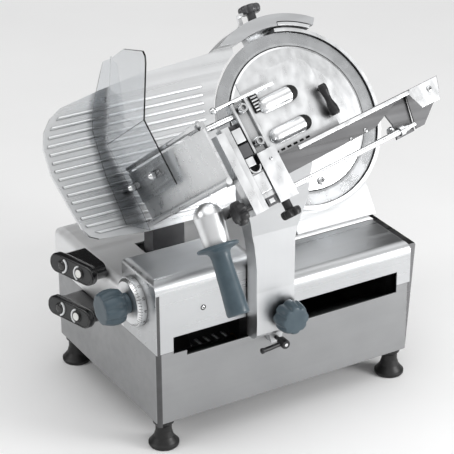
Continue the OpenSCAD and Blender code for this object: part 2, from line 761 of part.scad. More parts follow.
// finger scoop: half a round-ended tube on the face of the plate, open at its right end
module hood(x0, x1, u) {
    r = 14;
    wall = 2;
    translate([x1, -press_n - 2.5, u]) rotate([0, -90, 0]) difference() {
        rotate_extrude() polygon(concat([[0, 0], [r, 0]], [for (a = [0:15:90]) [r * cos(a), x1 - x0 + r * sin(a)]]));
        translate([0, 0, -1]) cylinder(r = r - wall, h = x1 - x0);
        translate([-20, 0, -1]) cube([40, 20, x1 - x0 + 40]);
    }
}
module press_plate() {
    color("whitesmoke") at_table() {
        plate_n(press_n, press_n + 3) difference() {
            union() {
                translate([press_x[0], floor_u + 2]) square([press_x[1] - press_x[0], 110]);
                translate([bar_x[1], 50]) square([press_x[1] - bar_x[1] - 34, 42]);
                translate([press_x[1] - 34, 58]) circle(34);
            }
            for (i = [0:5]) translate([bar_x[1] + 8 + i * 14, floor_u + 5]) square([9, 4]);
            for (i = [0:3]) translate([bar_x[1] + 22, 34 + i * 10]) square([6, 6]);
        }
        hood(-240, -182, 37);
        hood(-246, -184, -21);
        // points that hold the food
        for (x = [-300:24:-130], u = [-38, -8, 18, 44]) translate([x, -press_n - 0.5, u]) rotate([-90, 0, 0])
            cylinder(r1 = 3, r2 = 0.4, h = 8.5, $fn = 16);
    }
}
module press_bracket() {
    n0 = press_n + 3 + gap;
    color("gainsboro") at_table() {
        difference() {
            box([bar_x[0], -n0 - 12, -33], [bar_x[0] + 35, -n0, 62]);
            for (u = [-16, 48]) translate([bar_x[0] + 17, 0, u]) along_n(6, n0 + 9, n0 + 20);
        }
        // arm to the sleeve on the rail
        translate([0, -n0 - 6, 42]) rod_x(6, wall_x + 14, bar_x[0] + 1);
        difference() {
            union() {
                translate([wall_x, 0, rail_u]) along_n(8.5, press_n - 20, press_n + 20);
                box([wall_x + 5, -n0 - 12, 34], [wall_x + 15, -n0, 56]);
            }
            translate([wall_x, 0, rail_u]) along_n(rail_r + 0.05, press_n - 30, press_n + 30);
        }
        for (u = [-16, 48]) translate([bar_x[0] + 17, 0, u]) {
            along_n(5.9, n0 + 9.1, n0 + 16);
            translate([0, -n0 - 16, 0]) sphere(r = 6.5);
        }
        // lift rod with a ball end
        translate([0, -n0 - 12, 66]) {
            rod_x(3.5, -342, -212);
            translate([-343, 0, 0]) sphere(r = 6);
            box([-300, -3, -5], [-284, 3, 2]);
        }
    }
}
module press_grip() {
    color("black") at_table() translate([press_x[1] - 6, -press_n - 18, 0]) {
        rotate_extrude() polygon([[0, -34], [7, -34], [9.5, -30], [9.5, -20], [6, -6], [6, 2], [8, 14], [8, 22], [6, 26], [0, 26]]);
        for (u = [-27, 20]) translate([0, 0, u]) rod_y(3, 0, 14.7);
    }
}

base_box();
bottom_plate();
feet();
front_cover_left();
front_cover_right();
rear_cover();
end_cover();
guide_rods();
rod_supports();
drive_motor();
drive_belt();
drive_pulley();
idler_pulley();
blade_housing();
housing_back_cover();
guard_ring();
blade();
blade_cover();
cover_tie_rod();
blade_shaft();
blade_bearings();
blade_pulley();
blade_motor();
motor_pulley();
blade_belt();
sharpener_body();
sharpener_knob();
sharpener_latch();
sharpening_wheels();
gauge_plate();
gauge_bracket();
gauge_guide_rod();
index_knob();
index_dial();
switch_boxes();
blade_start_button();
blade_stop_button();
carriage_start_button();
carriage_stop_button();
cable_gland();
carriage_arm();
slide_block();
slide_bushings();
table_floor();
end_wall();
press_rail();
hand_guard();
guard_bolts();
table_frame();
front_rail();
table_guide_rod();
push_handle();
arm_knob();
clamp_lever();
frame_knob();
rail_knob();
press_plate();
press_bracket();
press_grip();
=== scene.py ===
import json
import math
import bmesh
import bpy
from mathutils import Matrix, Vector


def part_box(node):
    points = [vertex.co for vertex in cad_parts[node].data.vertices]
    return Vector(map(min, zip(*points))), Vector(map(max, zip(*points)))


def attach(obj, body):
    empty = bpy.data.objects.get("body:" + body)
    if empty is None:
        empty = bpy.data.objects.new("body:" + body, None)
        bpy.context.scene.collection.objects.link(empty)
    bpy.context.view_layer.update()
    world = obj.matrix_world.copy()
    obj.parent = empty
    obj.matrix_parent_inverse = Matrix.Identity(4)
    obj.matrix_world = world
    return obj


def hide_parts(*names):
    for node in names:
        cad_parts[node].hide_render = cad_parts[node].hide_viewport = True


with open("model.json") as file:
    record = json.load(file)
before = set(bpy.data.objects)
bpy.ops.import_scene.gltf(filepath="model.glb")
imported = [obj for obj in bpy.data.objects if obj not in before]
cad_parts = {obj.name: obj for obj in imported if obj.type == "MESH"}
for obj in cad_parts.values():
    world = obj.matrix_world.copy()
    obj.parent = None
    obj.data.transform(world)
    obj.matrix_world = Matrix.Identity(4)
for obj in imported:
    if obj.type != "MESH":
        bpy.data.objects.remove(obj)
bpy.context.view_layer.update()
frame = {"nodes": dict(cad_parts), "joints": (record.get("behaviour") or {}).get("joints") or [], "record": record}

NODES = frame["nodes"]
JOINTS = {joint["name"]: joint for joint in frame["joints"]}

# ---------------------------------------------------------------- frames
# Pieces are drawn in millimetres in one of three frames: the base's front left corner at floor level,
# the blade's (x along the travel, -y outwards from the blade, z up the blade), and the meat table's.

MM = 0.001
TABLE_ROLL = 11  # degrees that the meat table is turned in the blade's plane


def blade_frame():
    centre = Vector(JOINTS["blade_spin"]["pos_m"])
    out = Vector(JOINTS["blade_spin"]["axis"]).normalized()
    x = Vector((1, 0, 0))
    up = out.cross(x)
    m = Matrix((x, -out, up)).transposed().to_4x4()
    m.translation = centre
    return m @ Matrix.Scale(MM, 4)


def base_frame():
    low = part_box("base_box")[0]
    return Matrix.Translation((low.x, low.y, 0)) @ Matrix.Scale(MM, 4)


BASE = base_frame()
BLADE = blade_frame()
TABLE = BLADE @ Matrix.Rotation(math.radians(-TABLE_ROLL), 4, "Y")


def shift(x, y, z):
    return Matrix.Translation((x, y, z))


def turn(degrees, axis):
    return Matrix.Rotation(math.radians(degrees), 4, axis)


# ---------------------------------------------------------------- camera and light


EYE = (-1.6935, -2.7757, 1.9668)
AZIMUTH = math.radians(-30.54)
ELEVATION = math.radians(26.02)
ROLL = math.radians(-0.23)
LENS = 152
SHIFT = (-0.0154, -0.0315)


def camera():
    level = math.cos(ELEVATION)
    back = Vector((math.sin(AZIMUTH) * level, -math.cos(AZIMUTH) * level, math.sin(ELEVATION)))
    data = bpy.data.cameras.new("camera")
    data.sensor_width = 36
    data.lens = LENS
    data.shift_x, data.shift_y = SHIFT
    data.clip_end = 50
    cam = bpy.data.objects.new("camera", data)
    cam.location = EYE
    cam.rotation_mode = "QUATERNION"
    rolled = Matrix.Rotation(ROLL, 3, "Z").to_quaternion()
    cam.rotation_quaternion = (-back).to_track_quat("-Z", "Y") @ rolled
    bpy.context.scene.collection.objects.link(cam)
    bpy.context.scene.camera = cam


# Strength of the studio's walls from the front (0) to the back (1), and of its ceiling. CEILING_FROM and
# CEILING_TO are the heights on the unit sphere where the ceiling fades in. BACKDROP is a pale wall behind
# the floor that only the camera sees.
WALLS = ((0.0, 0.62), (0.22, 0.66), (0.40, 0.38), (0.60, 0.14), (0.85, 0.04), (1.0, 0.04))
CEILING = 1.6
CEILING_FROM = 0.66
CEILING_TO = 0.92
BACKDROP = 0.72

# Each softbox: its place, what it points at, its width and height, and its power in watts
SOFTBOXES = {
    "key": ((-2.8, 0.9, 1.9), (-0.4, 0.2, 0.0), 1.6, 1.2, 22),
    "right": ((1.6, -1.9, 0.9), (0.2, -0.1, 0.2), 1.0, 1.0, 42),
}


def softbox(name, place, aim, width, height, power):
    data = bpy.data.lights.new(name, "AREA")
    data.shape = "RECTANGLE"
    data.size = width
    data.size_y = height
    data.energy = power
    light = bpy.data.objects.new(name, data)
    light.location = place
    light.rotation_mode = "QUATERNION"
    light.rotation_quaternion = (Vector(aim) - Vector(place)).to_track_quat("-Z", "Y")
    bpy.context.scene.collection.objects.link(light)


def sky(world):
    """Studio walls as the metal sees them: pale in front and overhead, dark behind."""
    tree = world.node_tree
    coords = tree.nodes.new("ShaderNodeTexCoord")
    split = tree.nodes.new("ShaderNodeSeparateXYZ")
    tree.links.new(coords.outputs["Generated"], split.inputs["Vector"])
    walls = tree.nodes.new("ShaderNodeFloatCurve")
    curve = walls.mapping.curves[0]
    while len(curve.points) < len(WALLS):
        curve.points.new(0.5, 0.5)
    for point, place in zip(curve.points, WALLS):
        point.location = place
    walls.mapping.update()
    depth = tree.nodes.new("ShaderNodeMapRange")
    depth.inputs["From Min"].default_value = -1
    tree.links.new(split.outputs["Y"], depth.inputs["Value"])
    tree.links.new(depth.outputs["Result"], walls.inputs["Value"])
    height = tree.nodes.new("ShaderNodeMapRange")
    height.interpolation_type = "SMOOTHSTEP"
    height.inputs["From Min"].default_value = CEILING_FROM
    height.inputs["From Max"].default_value = CEILING_TO
    height.inputs["To Min"].default_value = 0
    height.inputs["To Max"].default_value = CEILING
    tree.links.new(split.outputs["Z"], height.inputs["Value"])
    total = tree.nodes.new("ShaderNodeMath")
    total.operation = "MAXIMUM"
    tree.links.new(walls.outputs["Value"], total.inputs[0])
    tree.links.new(height.outputs["Result"], total.inputs[1])
    seen = tree.nodes.new("ShaderNodeLightPath")
    backdrop = tree.nodes.new("ShaderNodeMath")
    backdrop.operation = "MULTIPLY_ADD"
    backdrop.inputs[1].default_value = BACKDROP
    tree.links.new(seen.outputs["Is Camera Ray"], backdrop.inputs[0])
    tree.links.new(total.outputs["Value"], backdrop.inputs[2])
    background = tree.nodes["Background"]
    background.inputs["Color"].default_value = (1, 1, 1, 1)
    tree.links.new(backdrop.outputs["Value"], background.inputs["Strength"])


def lights():
    world = bpy.data.worlds.new("studio")
    bpy.context.scene.world = world
    bpy.context.scene.view_settings.view_transform = "Standard"
    world.use_nodes = True
    sky(world)
    for name, settings in SOFTBOXES.items():
        softbox(name, *settings)


def floor():
    mesh = bpy.data.meshes.new("floor")
    r = 9  # metres from the object to the floor's edges
    mesh.from_pydata([(-r, -r, 0), (r, -r, 0), (r, r, 0), (-r, r, 0)], [], [(0, 1, 2, 3)])
    obj = bpy.data.objects.new("floor", mesh)
    bpy.context.scene.collection.objects.link(obj)
    m = Material("floor_paper", rough=0.9)
    m.colour((0.90, 0.90, 0.90), (0.92, 0.92, 0.92), scale=3)
    mesh.materials.append(m.finish())


# ---------------------------------------------------------------- materials


# How far the painted shade in corners and narrow gaps reaches, in metres
CREASE_SHADE_REACH = 0.014


class Material:
    """A Principled material whose colour, roughness and bump vary over the surface."""

    def __init__(self, name, metallic=0.0, rough=0.5, coat=0.0, transmission=0.0, ior=1.45):
        self.mat = bpy.data.materials.new(name)
        self.mat.use_nodes = True
        self.tree = self.mat.node_tree
        self.shader = self.tree.nodes["Principled BSDF"]
        self.set("Metallic", metallic)
        self.set("Roughness", rough)
        self.set("Coat Weight", coat)
        self.set("Transmission Weight", transmission)
        self.set("IOR", ior)
        self.coords = self.node("ShaderNodeTexCoord")
        self.height = None

    def node(self, kind, **settings):
        n = self.tree.nodes.new(kind)
        for key, value in settings.items():
            setattr(n, key, value)
        return n

    def link(self, a, b):
        self.tree.links.new(a, b)

    def set(self, socket, value):
        self.shader.inputs[socket].default_value = value

    def noise(self, scale, stretch=(1, 1, 1), detail=3.0, rotate=(0, 0, 0)):
        """Noise in metres across the object; stretch squeezes it along an axis for brushed metal."""
        mapping = self.node("ShaderNodeMapping")
        mapping.inputs["Rotation"].default_value = [math.radians(a) for a in rotate]
        mapping.inputs["Scale"].default_value = stretch
        noise = self.node("ShaderNodeTexNoise")
        noise.inputs["Scale"].default_value = scale
        noise.inputs["Detail"].default_value = detail
        self.link(self.coords.outputs["Object"], mapping.inputs["Vector"])
        self.link(mapping.outputs["Vector"], noise.inputs["Vector"])
        return noise.outputs["Fac"]

    def ramp(self, fac, low, high, a=0.3, b=0.7):
        ramp = self.node("ShaderNodeValToRGB")
        for stop, place, colour in zip(ramp.color_ramp.elements, (a, b), (low, high)):
            stop.position = place
            stop.color = (*colour, 1)
        self.link(fac, ramp.inputs["Fac"])
        return ramp.outputs["Color"]

    def colour(self, low, high, scale=20.0, stretch=(1, 1, 1), crease_shade=0.0, **more):
        """The crease setting gives how much painted shade, from ambient occlusion, darkens the metal in corners
        and narrow gaps.
        """
        colour = self.ramp(self.noise(scale, stretch, **more), low, high)
        if crease_shade:
            # Painted shade: ambient occlusion darkens the colour in corners and narrow gaps
            painted_shade_ao = self.node("ShaderNodeAmbientOcclusion", samples=8)
            painted_shade_ao.inputs["Distance"].default_value = CREASE_SHADE_REACH
            shade = self.ramp(painted_shade_ao.outputs["AO"], (1 - crease_shade,) * 3, (1, 1, 1), 0.25, 0.95)
            mix = self.node("ShaderNodeMix", data_type="RGBA", blend_type="MULTIPLY")
            mix.inputs["Factor"].default_value = 1
            self.link(colour, mix.inputs["A"])
            self.link(shade, mix.inputs["B"])
            colour = mix.outputs["Result"]
        self.link(colour, self.shader.inputs["Base Color"])

    def roughness(self, low, high, scale=40.0, stretch=(1, 1, 1), **more):
        span = self.node("ShaderNodeMapRange")
        span.inputs["From Min"].default_value = 0.3
        span.inputs["From Max"].default_value = 0.7
        span.inputs["To Min"].default_value = low
        span.inputs["To Max"].default_value = high
        self.link(self.noise(scale, stretch, **more), span.inputs["Value"])
        self.link(span.outputs["Result"], self.shader.inputs["Roughness"])

    def bump(self, strength, scale, distance=0.0002, stretch=(1, 1, 1), **more):
        bump = self.node("ShaderNodeBump")
        bump.inputs["Strength"].default_value = strength
        bump.inputs["Distance"].default_value = distance
        self.link(self.noise(scale, stretch, **more), bump.inputs["Height"])
        if self.height:
            self.link(self.height, bump.inputs["Normal"])
        self.height = bump.outputs["Normal"]
        self.link(self.height, self.shader.inputs["Normal"])

    def finish(self):
        return self.mat


def brushed(name, low, high, rough, grain, lean=(0, 0, 0), strength=0.25):
    """Metal brushed along one axis: grain is the noise's squeeze, small along the strokes."""
    m = Material(name, metallic=1.0)
    # The colour carries painted shade in corners and narrow gaps
    m.colour(low, high, 7.0, (1, 1, 1), crease_shade=0.75, detail=4.0)
    m.roughness(rough - 0.07, rough + 0.09, 60.0, grain, rotate=lean)
    m.bump(strength, 140.0, 0.00012, grain, rotate=lean, detail=5.0)
    m.bump(0.03, 9.0, 0.0005)
    return m.finish()


def turned(name, low, high, rough, place, strength=0.2):
    """Metal with fine rings round the blade's axis."""
    m = Material(name, metallic=1.0)
    # The colour carries painted shade in corners and narrow gaps
    m.colour(low, high, 6.0, crease_shade=0.7)
    inverse = place.inverted()
    mapping = m.node("ShaderNodeMapping")
    mapping.inputs["Location"].default_value = inverse.translation * MM
    mapping.inputs["Rotation"].default_value = inverse.to_euler()
    rings = m.node("ShaderNodeTexWave", wave_type="RINGS", rings_direction="Y", wave_profile="SIN")
    rings.inputs["Scale"].default_value = 260
    rings.inputs["Distortion"].default_value = 1.5
    rings.inputs["Detail"].default_value = 3
    rings.inputs["Detail Scale"].default_value = 4
    m.link(m.coords.outputs["Object"], mapping.inputs["Vector"])
    m.link(mapping.outputs["Vector"], rings.inputs["Vector"])
    bump = m.node("ShaderNodeBump")
    bump.inputs["Strength"].default_value = strength
    bump.inputs["Distance"].default_value = 0.0001
    m.link(rings.outputs["Fac"], bump.inputs["Height"])
    m.link(bump.outputs["Normal"], m.shader.inputs["Normal"])
    m.roughness(rough - 0.05, rough + 0.07, 30.0)
    return m.finish()


def plastic(name, low, high, rough, coat=0.0, grain=0.15, grain_scale=900.0):
    m = Material(name, rough=rough, coat=coat)
    m.colour(low, high, 60.0, detail=4.0)
    m.roughness(rough - 0.05, rough + 0.06, 120.0)
    m.bump(grain, grain_scale, 0.00015)
    return m.finish()


def clear(name, colour, rough=0.03):
    m = Material(name, transmission=1.0, ior=1.49)
    m.set("Base Color", (*colour, 1))
    m.roughness(rough, rough + 0.05, 25.0)
    m.bump(0.03, 6.0, 0.0005)
    return m.finish()


ALONG_X = (0.02, 1, 1)
ALONG_Z = (1, 1, 0.02)
LEVEL = (0, 0, 0)
BLADE_LEAN = (35, 0, 0)

ANY_WAY = (1, 1, 1)

# Metals: darkest and palest colour, roughness, grain, and more for brushed()
METALS = {
    "body_aluminium": ((0.33, 0.334, 0.34), (0.38, 0.384, 0.39), 0.36, ALONG_X),
    "cover_aluminium": ((0.55, 0.56, 0.57), (0.62, 0.63, 0.64), 0.32, ALONG_X),
    # Painted light: a paler copy of the cover aluminium, for the rear deck where more light falls
    "painted_light_deck_aluminium": ((0.88, 0.885, 0.89), (0.93, 0.935, 0.94), 0.55, ALONG_X),
    "polished_aluminium": ((0.78, 0.79, 0.80), (0.85, 0.86, 0.87), 0.33, ALONG_Z, BLADE_LEAN, 0.1),
    "arm_aluminium": ((0.60, 0.61, 0.62), (0.66, 0.67, 0.68), 0.36, ALONG_Z, BLADE_LEAN, 0.1),
    "cast_dark": ((0.10, 0.10, 0.105), (0.17, 0.17, 0.175), 0.5, ANY_WAY, LEVEL, 0.5),
    # Painted shade: near-black steel that darkens the parts inside the carriage slot
    "inner_steel": ((0.06, 0.06, 0.062), (0.09, 0.09, 0.092), 0.35, ALONG_X),
    "sheet_steel": ((0.76, 0.77, 0.78), (0.84, 0.85, 0.86), 0.3, ALONG_X, LEVEL, 0.15),
    # Painted shade: a darker copy of the aluminium, for the shaded faces of the front rail and the end cover
    "painted_shade_rail_grey": ((0.20, 0.20, 0.205), (0.27, 0.27, 0.275), 0.3, ALONG_X, LEVEL, 0.15),
    "chrome": ((0.80, 0.81, 0.82), (0.86, 0.87, 0.88), 0.12, ANY_WAY, LEVEL, 0.03),
    "bronze": ((0.45, 0.28, 0.12), (0.55, 0.36, 0.16), 0.4, ANY_WAY),
}

# Plastics, rubber, paint and stone: darkest and palest colour, roughness, clear coat, grain and its scale
PLASTICS = {
    "black_plastic": ((0.012, 0.012, 0.013), (0.022, 0.022, 0.024), 0.42),
    "gloss_black": ((0.006, 0.006, 0.007), (0.010, 0.010, 0.011), 0.2, 0.6, 0.02),
    "blue_grey_plastic": ((0.046, 0.072, 0.090), (0.062, 0.092, 0.112), 0.38, 0.1),
    "button_white": ((0.78, 0.78, 0.75), (0.84, 0.84, 0.82), 0.25, 0.4, 0.02),
    "button_black": ((0.012, 0.012, 0.012), (0.020, 0.020, 0.020), 0.25, 0.4, 0.02),
    "foot_rubber": ((0.008, 0.008, 0.008), (0.016, 0.016, 0.016), 0.45, 0.0, 0.25, 700.0),
    "belt_rubber": ((0.010, 0.010, 0.010), (0.020, 0.020, 0.020), 0.7, 0.0, 0.4, 500.0),
    "motor_paint": ((0.05, 0.055, 0.06), (0.07, 0.075, 0.08), 0.45, 0.0, 0.3, 500.0),
    "stone": ((0.30, 0.24, 0.16), (0.50, 0.42, 0.30), 0.85, 0.0, 0.8, 1400.0),
    "face_grey": ((0.030, 0.031, 0.032), (0.042, 0.043, 0.044), 0.4, 0.0, 0.3),
    "frosted": ((0.70, 0.72, 0.73), (0.80, 0.81, 0.82), 0.35, 0.2, 0.1),
    "seal_dark": ((0.05, 0.05, 0.052), (0.07, 0.07, 0.072), 0.35, 0.3),
    # Flat black that stands for painted shade in holes, gaps and recesses
    "painted_shade_black": ((0.003, 0.003, 0.003), (0.006, 0.006, 0.006), 0.7),
    "knob_grey": ((0.05, 0.05, 0.053), (0.08, 0.08, 0.084), 0.3, 0.2),
}

FINISH = {name: brushed(name, *settings) for name, settings in METALS.items()}
FINISH |= {name: plastic(name, *settings) for name, settings in PLASTICS.items()}
FINISH["blade_steel"] = turned("blade_steel", (0.47, 0.48, 0.49), (0.54, 0.55, 0.56), 0.26, BLADE)
FINISH["clear_guard"] = clear("clear_guard", (0.80, 0.82, 0.84))

# ---------------------------------------------------------------- CAD nodes

# Width of the soft edge on a node, in millimetres
PLAIN_BEVEL = 0.6
BEVEL = {
    "front_cover_left": 0.8, "front_cover_right": 0.8, "rear_cover": 0.8, "base_box": 0.5,
    "carriage_arm": 2.5, "table_frame": 1.5, "hand_guard": 0.8, "end_wall": 0.8, "gauge_plate": 0.5,
    "blade": 0.0}

# Nodes that look different from their slot's other nodes
# The rear cover's pale finish is painted light on the deck
FINISH_OF = {
    # The front rail's and the end cover's dark grey finish is painted shade
    "front_rail": "painted_shade_rail_grey", "sharpener_body": "cover_aluminium", "rear_cover": "painted_light_deck_aluminium",
    # The bottom plate's dark cast finish is painted shade inside the machine, seen through the slot
    "end_cover": "painted_shade_rail_grey", "carriage_arm": "arm_aluminium", "bottom_plate": "cast_dark"}


def smooth(mesh, degrees=32):
    for face in mesh.polygons:
        face.use_smooth = True
    mesh.set_sharp_from_angle(angle=math.radians(degrees))


def bevel(obj, width, segments=2):
    mod = obj.modifiers.new("edge", "BEVEL")
    mod.width = width * MM
    mod.segments = segments
    mod.limit_method = "ANGLE"
    mod.angle_limit = math.radians(35)
    mod.harden_normals = True
    mod.use_clamp_overlap = True


def dress_nodes():
    """Gives each CAD node its finish and soft edges."""
    for part in frame["record"]["subparts"]:
        obj = NODES[part["node"]]
        obj.data.materials.clear()
        obj.data.materials.append(FINISH[FINISH_OF.get(part["node"], part["material_slot"])])
        smooth(obj.data)
        width = BEVEL.get(part["node"], PLAIN_BEVEL)
        if width:
            bevel(obj, width)


# ---------------------------------------------------------------- mesh helpers


def piece(name, bm, place, finish, body, replaces=(), edge=0.0, sharp=32):
    """Turns a mesh drawn in millimetres into a piece of the scene that rides on a body."""
    bmesh.ops.remove_doubles(bm, verts=bm.verts, dist=1e-4)
    bmesh.ops.recalc_face_normals(bm, faces=bm.faces)
    mesh = bpy.data.meshes.new(name)
    bm.to_mesh(mesh)
    bm.free()
    mesh.transform(place)
    smooth(mesh, sharp)
    mesh.materials.append(FINISH[finish])
    obj = bpy.data.objects.new(name, mesh)
    bpy.context.scene.collection.objects.link(obj)
    if edge:
        bevel(obj, edge)
    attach(obj, body)
    if replaces:
        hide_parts(*replaces)
    return obj


def loft(bm, rings, closed=False):
    """Skins rings of equal length and caps both ends. closed joins the last ring to the first instead."""
    loops = [[bm.verts.new(p) for p in ring] for ring in rings]
    pairs = list(zip(loops, loops[1:] + loops[:1])) if closed else list(zip(loops, loops[1:]))
    count = len(loops[0])
    for a, b in pairs:
        for i in range(count):
            j = (i + 1) % count
            bm.faces.new((a[i], a[j], b[j], b[i]))
    if not closed:
        bm.faces.new(list(reversed(loops[0])))
        bm.faces.new(loops[-1])


def circle(r, z=0.0, steps=48, centre=(0, 0)):
    angles = [2 * math.pi * i / steps for i in range(steps)]
    return [Vector((centre[0] + r * math.cos(a), centre[1] + r * math.sin(a), z)) for a in angles]


def lathe(bm, profile, steps=48, at=Matrix()):
    """Turns (radius, z) points about z, with flat caps."""
    loft(bm, [[at @ p for p in circle(max(r, 0.01), z, steps)] for r, z in profile])


def prism(bm, outline, z0, z1, at=Matrix()):
    loft(bm, [[at @ Vector((x, y, z)) for x, y in outline] for z in (z0, z1)])


def block(bm, low, high, at=Matrix()):
    (x0, y0, z0), (x1, y1, z1) = low, high
    prism(bm, [(x0, y0), (x1, y0), (x1, y1), (x0, y1)], z0, z1, at)


def tube(bm, points, r, steps=16):
    """Round bar through the points."""
    points = [Vector(p) for p in points]
    rings = []
    for i, p in enumerate(points):
        a = points[max(i - 1, 0)]
        b = points[min(i + 1, len(points) - 1)]
        frame_at = (b - a).to_track_quat("Z", "Y").to_matrix().to_4x4()
        frame_at.translation = p
        rings.append([frame_at @ q for q in circle(r, 0, steps)])
    loft(bm, rings)


def stadium(half, r, z, steps=16):
    right = [(half + r * math.cos(a), r * math.sin(a)) for a in arc_angles(-90, 90, steps)]
    left = [(-half + r * math.cos(a), r * math.sin(a)) for a in arc_angles(90, 270, steps)]
    return [Vector((x, y, z)) for x, y in right + left]


def arc_angles(start, end, steps):
    return [math.radians(start + (end - start) * i / steps) for i in range(steps + 1)]


def sector(r_in, r_out, start, end, steps=24):
    """Outline of part of a ring."""
    outer = [(r_out * math.cos(a), r_out * math.sin(a)) for a in arc_angles(start, end, steps)]
    inner = [(r_in * math.cos(a), r_in * math.sin(a)) for a in arc_angles(end, start, steps)]
    return outer + inner


def lobed(r, depth, count, z, steps=112):
    """Ring with wide round lobes and narrow valleys."""
    ring = []
    for i in range(steps):
        a = 2 * math.pi * i / steps
        valley = (0.5 - 0.5 * math.cos(count * a)) ** 3
        ring.append(Vector(((r - depth * valley) * math.cos(a), (r - depth * valley) * math.sin(a), z)))
    return ring


def screw(bm, at, r, height=2.2):
    """Domed socket screw head standing on z=0 of its frame."""
    lathe(bm, [(r, 0), (r, height * 0.55), (r * 0.86, height * 0.9), (r * 0.6, height), (r * 0.42, height),
               (r * 0.38, height * 0.35)], 24, at)


OUT = turn(90, "X")  # makes z of a piece point outwards from the blade's or the table's plane

# ---------------------------------------------------------------- knobs and handle


# Centres in the base's frame
INDEX_AT = (0, 78, 287)
KNOB_AT = (250, 0, 246)
LEVER_AT = (240, 0, 190)

# Shapes of the grips: (height, share of the radius, share of the valleys' depth)
INDEX_GRIP = [
    (29, 0.70, 0.3), (30, 0.82, 0.6), (33, 0.92, 0.9), (40, 0.98, 1), (48, 1.0, 1), (56, 0.985, 1),
    (63, 0.93, 1), (68, 0.88, 0.9), (71, 0.84, 0.6), (72.2, 0.79, 0.3), (72.4, 0.6, 0.1), (72, 0.3, 0)]
ARM_GRIP = [
    (44.2, 0.60, 0.2), (44.8, 0.86, 0.6), (47.5, 0.97, 1), (53, 1.0, 1), (61, 0.98, 1), (69, 0.94, 1),
    (74, 0.89, 0.9), (76.6, 0.84, 0.7), (77.7, 0.77, 0.4), (77.9, 0.5, 0.1), (77.5, 0.2, 0)]
SHARPENER_GRIP = [
    (226, 0.6, 0.2), (226.6, 0.82, 0.6), (229, 0.95, 1), (234, 1.0, 1), (239, 0.98, 1), (241.6, 0.92, 1),
    (242.8, 0.84, 0.6), (243, 0.7, 0.3), (242.6, 0.35, 0)]
FRAME_GRIP = [
    (-34, 0.5, 0), (-33.8, 0.78, 0.6), (-32, 0.94, 1), (-28, 1, 1), (-21, 1, 1), (-17.5, 0.93, 1),
    (-16.2, 0.75, 0.6), (-16, 0.4, 0)]
RAIL_GRIP = [
    (-160, 0.5, 0), (-159.8, 0.78, 0.6), (-158, 0.94, 1), (-154, 1, 1), (-149, 1, 1), (-146, 0.93, 1),
    (-144.6, 0.7, 0.6), (-144.4, 0.45, 0)]


def star_knob(name, place, body, node, finish, count, r, depth, grip, stem=None):
    """Grip with count lobes of radius r and valleys of the given depth, on an optional turned stem."""
    bm = bmesh.new()
    loft(bm, [lobed(r * share, depth * cut, count, z) for z, share, cut in grip])
    if stem:
        lathe(bm, stem, 40)
    return piece(name, bm, place, finish, body, replaces=(node,), sharp=40)


def knobs():
    at = BASE @ shift(*INDEX_AT) @ turn(-90, "Y")
    stem = [(19.5, 17.2), (19.5, 30)]
    star_knob("index_knob_grip", at, "index", "index_knob", "blue_grey_plastic", 8, 34.5, 4,
              INDEX_GRIP, stem)
    at = BASE @ shift(*KNOB_AT) @ turn(90, "X")
    star_knob("arm_knob_grip", at, "arm_clamp", "arm_knob", "blue_grey_plastic", 8, 32, 4, ARM_GRIP)
    bm = bmesh.new()
    lathe(bm, [(6.9, 7), (6.9, 38.6), (12.6, 38.6), (13.6, 39.6), (13.6, 44.3)], 40)
    piece("arm_knob_stem", bm, at, "chrome", "arm_clamp")
    at = BLADE @ shift(-22, 14, 0)
    stem = [(6, 193), (6, 213), (9, 213.5), (9, 227)]
    star_knob("sharpener_grip_knob", at, "sharpener_grip", "sharpener_knob", "knob_grey", 7, 23, 3.6,
              SHARPENER_GRIP, stem)
    at = TABLE @ shift(-370, -349, -112) @ turn(90, "Y")
    stem = [(5, -17), (5, -0.5)]
    star_knob("frame_star_knob", at, "frame_clamp", "frame_knob", "black_plastic", 6, 22, 6,
              FRAME_GRIP, stem)
    at = TABLE @ shift(-299, -341, 0)
    stem = [(8, -146), (8, -129.5), (7, -128.6)]
    star_knob("rail_star_knob", at, "rail_clamp", "rail_knob", "black_plastic", 5, 19, 5.5,
              RAIL_GRIP, stem)


def push_handle():
    place = BLADE @ shift(-405.5, -311, -233.8)
    end = [(12, -116.8), (17.5, -116.8), (19.6, -115.6), (20.4, -112.5)]
    grip = [(20.2, -104), (18.6, -70), (17.6, -35), (17.4, -14)]
    flange = [(18.6, -7), (21.5, -3), (27, -0.8), (33, 0.6), (36.5, 2.0), (37.8, 4.4), (37.4, 6.6),
              (35.5, 7.8), (30, 8)]
    bm = bmesh.new()
    lathe(bm, end + grip + flange, 72)
    piece("push_handle_grip", bm, place, "blue_grey_plastic", "carriage", replaces=("push_handle",),
          sharp=50)


def clamp_lever():
    place = BASE @ shift(*LEVER_AT)
    bm = bmesh.new()
    front = turn(90, "X")
    lathe(bm, [(4, 6), (4, 40), (8.2, 39.5), (9, 41), (9, 57.5), (8, 59.6), (5.6, 60)], 32, front)
    tube(bm, [(-4, -50, 0), (-16, -51, 0), (-30, -53.5, 0), (-48, -55.5, 0)], 4.6, 20)
    lathe(bm, [(4.8, 0), (5.4, 1), (5.4, 5), (4.4, 6)], 24, shift(-46, -55.3, 0) @ turn(-90, "Y"))
    piece("clamp_lever_body", bm, place, "black_plastic", "arm_catch", replaces=("clamp_lever",), sharp=50)
    bm = bmesh.new()
    lathe(bm, [(3.4, 59.6), (3.4, 60.1), (2.6, 60.4), (1, 60.4)], 24, front)
    piece("clamp_lever_screw", bm, place, "chrome", "arm_catch")


# ---------------------------------------------------------------- index dial and switches


DIAL_MARKS = 48
DIAL_NUMBERS = 12


